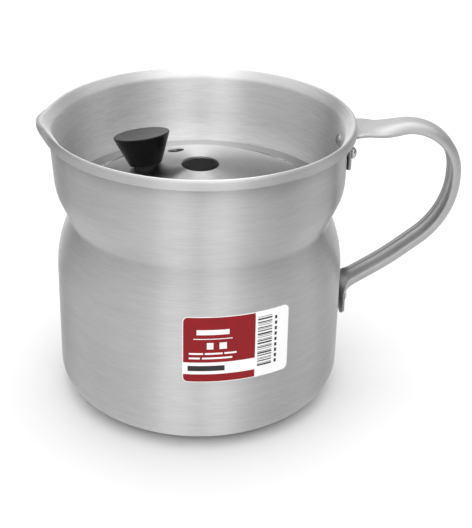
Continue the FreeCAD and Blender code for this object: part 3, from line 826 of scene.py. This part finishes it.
def satin_aluminium(name, tone, roughness):
    """Tumbled strip: soft mottling, tiny dents and hairline scratches."""
    n = Nodes(bpy.data.materials.new(name))
    where = n.add("ShaderNodeTexCoord").outputs["Object"]
    cloud = n.noise(where, scale=60.0, detail=4.0)
    grain = n.noise(where, scale=1400.0, detail=3.0)
    scratch = n.noise(n.scaled(where, (300.0, 1800.0, 300.0)), detail=3.0, rough=0.65)
    colour = n.blend(n.remap(cloud, 0.0, 1.0), grey(tone * 0.92), grey(tone * 1.04))
    colour = n.blend(n.remap(scratch, 0.0, 0.3, 0.62, 0.75), colour, grey(tone * 0.75))
    n.put(n.shader.inputs["Base Color"], colour)
    rough = n.math("ADD", n.remap(cloud, roughness - 0.04, roughness + 0.05),
                   n.remap(grain, -0.03, 0.05))
    n.put(n.shader.inputs["Roughness"], rough)
    n.shader.inputs["Metallic"].default_value = 1.0
    height = n.math("ADD", n.math("MULTIPLY", grain, 0.3), n.math("MULTIPLY", cloud, 0.7))
    n.put(n.shader.inputs["Normal"], n.bump(height, 0.25, 0.0001))
    return n.owner


def moulded_black(name):
    """Pressed phenolic: near black, semi-gloss, with faint flow, wear at the rim and a painted
    lighter top.
    """
    n = Nodes(bpy.data.materials.new(name))
    where = n.add("ShaderNodeTexCoord").outputs["Object"]
    flow = n.noise(n.scaled(where, (90.0, 90.0, 240.0)), detail=4.0)
    grain = n.noise(where, scale=2600.0, detail=2.0)
    edge = n.add("ShaderNodeNewGeometry").outputs["Pointiness"]
    worn = n.remap(edge, 0.0, 0.5, 0.53, 0.6)
    colour = n.blend(n.remap(flow, 0.0, 1.0), (0.002, 0.002, 0.002, 1), (0.005, 0.005, 0.005, 1))
    colour = n.blend(worn, colour, (0.02, 0.02, 0.021, 1))
    # Faces that point up are blended to a lighter grey: painted light on the knob's top.
    facing = n.add("ShaderNodeTexCoord").outputs["Normal"]
    upward = n.add("ShaderNodeSeparateXYZ", {0: facing}).outputs[2]
    painted_top_light = n.remap(upward, 0.0, 1.0, 0.75, 0.92)
    colour = n.blend(painted_top_light, colour, (0.035, 0.035, 0.036, 1))
    n.shader.inputs["Specular IOR Level"].default_value = 0.16
    n.put(n.shader.inputs["Base Color"], colour)
    n.put(n.shader.inputs["Roughness"], n.math("ADD", n.remap(flow, 0.24, 0.34),
                                               n.remap(grain, 0.0, 0.05)))
    n.put(n.shader.inputs["Normal"], n.bump(grain, 0.12, 0.00003))
    return n.owner


def printed_film(name, light, dark, roughness):
    """One ink or the bare film of the label, with faint mottling and paper tooth."""
    n = Nodes(bpy.data.materials.new(name))
    where = n.add("ShaderNodeTexCoord").outputs["Object"]
    cloud = n.noise(where, scale=130.0, detail=4.0)
    tooth = n.noise(where, scale=2400.0, detail=2.0)
    share = n.math("ADD", n.remap(cloud, 0.0, 0.7), n.remap(tooth, 0.0, 0.3))
    n.put(n.shader.inputs["Base Color"], n.blend(share, dark, light))
    n.put(n.shader.inputs["Roughness"], n.remap(cloud, roughness - 0.05, roughness + 0.07))
    n.shader.inputs["Specular IOR Level"].default_value = 0.25
    n.put(n.shader.inputs["Normal"], n.bump(tooth, 0.15, 0.00002))
    return n.owner


def turned_metal(name, light, dark, roughness):
    """Small turned or stamped metal pieces."""
    n = Nodes(bpy.data.materials.new(name))
    where = n.add("ShaderNodeTexCoord").outputs["Object"]
    cloud = n.noise(where, scale=300.0, detail=3.0)
    lines = n.noise(n.scaled(where, (400.0, 400.0, 6000.0)), detail=2.0)
    share = n.math("ADD", n.remap(cloud, 0.0, 0.6), n.remap(lines, 0.0, 0.4))
    n.put(n.shader.inputs["Base Color"], n.blend(share, dark, light))
    n.put(n.shader.inputs["Roughness"], n.remap(lines, roughness - 0.06, roughness + 0.08))
    n.shader.inputs["Metallic"].default_value = 1.0
    n.put(n.shader.inputs["Normal"], n.bump(lines, 0.2, 0.00003))
    return n.owner


def dress(obj, *materials):
    obj.data.materials.clear()
    for material in materials:
        obj.data.materials.append(material)


def dress_node(name, material):
    """Gives a CAD node a better material in its own slots."""
    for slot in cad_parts[name].material_slots:
        slot.material = material


# ======================================================================================
# Scene
# ======================================================================================
def add_camera():
    data = bpy.data.cameras.new("camera")
    data.lens = CAMERA_LENS
    data.sensor_width = CAMERA_SENSOR
    data.clip_start = 0.01
    camera = bpy.data.objects.new("camera", data)
    bpy.context.scene.collection.objects.link(camera)
    at, to = Vector(CAMERA_AT) * MM, Vector(CAMERA_TO) * MM
    forward = (to - at).normalized()
    right = forward.cross(Vector((0, 0, 1))).normalized()
    up = right.cross(forward)
    roll = math.radians(CAMERA_ROLL)
    x_axis = right * math.cos(roll) + up * math.sin(roll)
    y_axis = up * math.cos(roll) - right * math.sin(roll)
    turn = Matrix((x_axis, y_axis, -forward)).transposed().to_4x4()
    camera.matrix_world = Matrix.Translation(at) @ turn
    bpy.context.scene.camera = camera


def add_surroundings():
    """A pale studio all round: soft tone that changes with direction, brighter overhead."""
    n = Nodes(bpy.data.worlds.new("studio"), "Background")
    bpy.context.scene.world = n.owner
    where = n.add("ShaderNodeTexCoord").outputs["Generated"]
    parts = n.add("ShaderNodeSeparateXYZ", {0: where}).outputs
    angle = n.math("ARCTAN2", parts[1], parts[0])
    ramp = n.add("ShaderNodeValToRGB", {0: n.remap(angle, 0.0, 1.0, -math.pi, math.pi)})
    ramp.color_ramp.interpolation = "LINEAR"
    elements = ramp.color_ramp.elements
    for degrees, tone in SURROUND_TONES[1:-1]:
        elements.new((degrees + 180) / 360).color = plain(tone)
    elements[0].color = plain(SURROUND_TONES[0][1])
    elements[-1].color = plain(SURROUND_TONES[-1][1])
    inputs = {"Value": parts[2], "From Min": OVERHEAD_FROM, "From Max": OVERHEAD_FULL,
              "To Min": 0.0, "To Max": 1.0}
    rise = n.add("ShaderNodeMapRange", inputs, interpolation_type="SMOOTHSTEP").outputs[0]
    n.put(n.shader.inputs["Color"], n.blend(rise, ramp.outputs[0], plain(OVERHEAD_TONE)))
    n.shader.inputs["Strength"].default_value = 1.0


def add_area(name, at, to, size, power):
    data = bpy.data.lights.new(name, "AREA")
    data.shape = "RECTANGLE"
    data.size, data.size_y = size
    data.energy = power
    light = bpy.data.objects.new(name, data)
    bpy.context.scene.collection.objects.link(light)
    light.location = at
    light.rotation_euler = (Vector(to) - Vector(at)).to_track_quat("-Z", "Y").to_euler()


def add_floor():
    corners = [(-1, -1), (1, -1), (1, 1), (-1, 1)]
    vertices = [(x * FLOOR_HALF, y * FLOOR_HALF, 0) for x, y in corners]
    floor = make_object("floor", vertices, [(0, 1, 2, 3)], smooth=False)
    n = Nodes(bpy.data.materials.new("pale_floor"))
    where = n.add("ShaderNodeTexCoord").outputs["Object"]
    cloud = n.noise(where, scale=3.0, detail=2.0)
    tone = n.blend(n.remap(cloud, 0.0, 1.0), grey(0.73), grey(0.75))
    n.put(n.shader.inputs["Base Color"], tone)
    n.shader.inputs["Roughness"].default_value = 0.7
    dress(floor, n.owner)


# ======================================================================================
# The object
# ======================================================================================
def build():
    pot_metal = turned_aluminium("pot_outside_metal", 0.64, 0.52)
    # Same aluminium as the outside with a lighter tone: painted light that brightens the pot's
    # interior.
    interior_painted_brighter = turned_aluminium("pot_interior_metal_painted_brighter", 0.93, 0.52)
    disc_metal = turned_aluminium("guard_metal", 0.43, 0.5)
    strap_metal = satin_aluminium("handle_metal", 0.42, 0.5)
    rivet_metal = satin_aluminium("rivet_metal", 0.5, 0.28)
    brass = turned_metal("insert_brass", (0.78, 0.6, 0.3, 1), (0.66, 0.48, 0.22, 1), 0.3)
    # The spacer is made near black so it shows as a dark patch at the knob's foot: painted shade in
    # place of the knob's shadow and reflection.
    spacer_black_for_shade = turned_metal("spacer_painted_shade_black", grey(0.05), grey(0.03), 0.45)
    steel = turned_metal("washer_steel", (0.62, 0.62, 0.63, 1), (0.5, 0.5, 0.51, 1), 0.32)

    pot, slots = make_pot_body()
    dress(pot, pot_metal, interior_painted_brighter)
    pot.data.polygons.foreach_set("material_index", slots)
    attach(pot, "pot")
    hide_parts("pot_body")

    handle = make_handle()
    dress(handle, strap_metal)
    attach(handle, "pot")
    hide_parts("handle")

    for node in ("upper_rivet_front", "upper_rivet_rear", "lower_rivet"):
        rivet = make_rivet(node)
        dress(rivet, rivet_metal)
        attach(rivet, "pot")
        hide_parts(node)

    label, slots = make_label()
    dress(label, printed_film("label_white", grey(0.86), grey(0.8), 0.42),
          printed_film("label_red", (0.26, 0.003, 0.007, 1), (0.21, 0.002, 0.005, 1), 0.5),
          printed_film("label_light_ink", grey(0.88), grey(0.82), 0.42),
          printed_film("label_dark_ink", (0.03, 0.03, 0.03, 1), (0.018, 0.018, 0.018, 1), 0.5))
    label.data.polygons.foreach_set("material_index", slots)
    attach(label, "pot")
    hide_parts("care_label")

    disc = make_disc()
    dress(disc, disc_metal)
    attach(disc, "guard")
    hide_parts("guard_disc")

    knob = make_knob()
    dress(knob, moulded_black("knob_black"))
    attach(knob, "guard")
    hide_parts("knob")

    dress_node("knob_insert", brass)
    # Near-black spacer: painted shade under the knob.
    dress_node("knob_spacer", spacer_black_for_shade)
    for node in ("knob_washer", "knob_screw"):
        dress_node(node, steel)


build()
add_floor()
add_surroundings()
add_area("softbox_top", SOFTBOX_AT, SOFTBOX_TO, SOFTBOX_SIZE, SOFTBOX_POWER)
add_camera()
bpy.context.scene.view_settings.view_transform = "Standard"
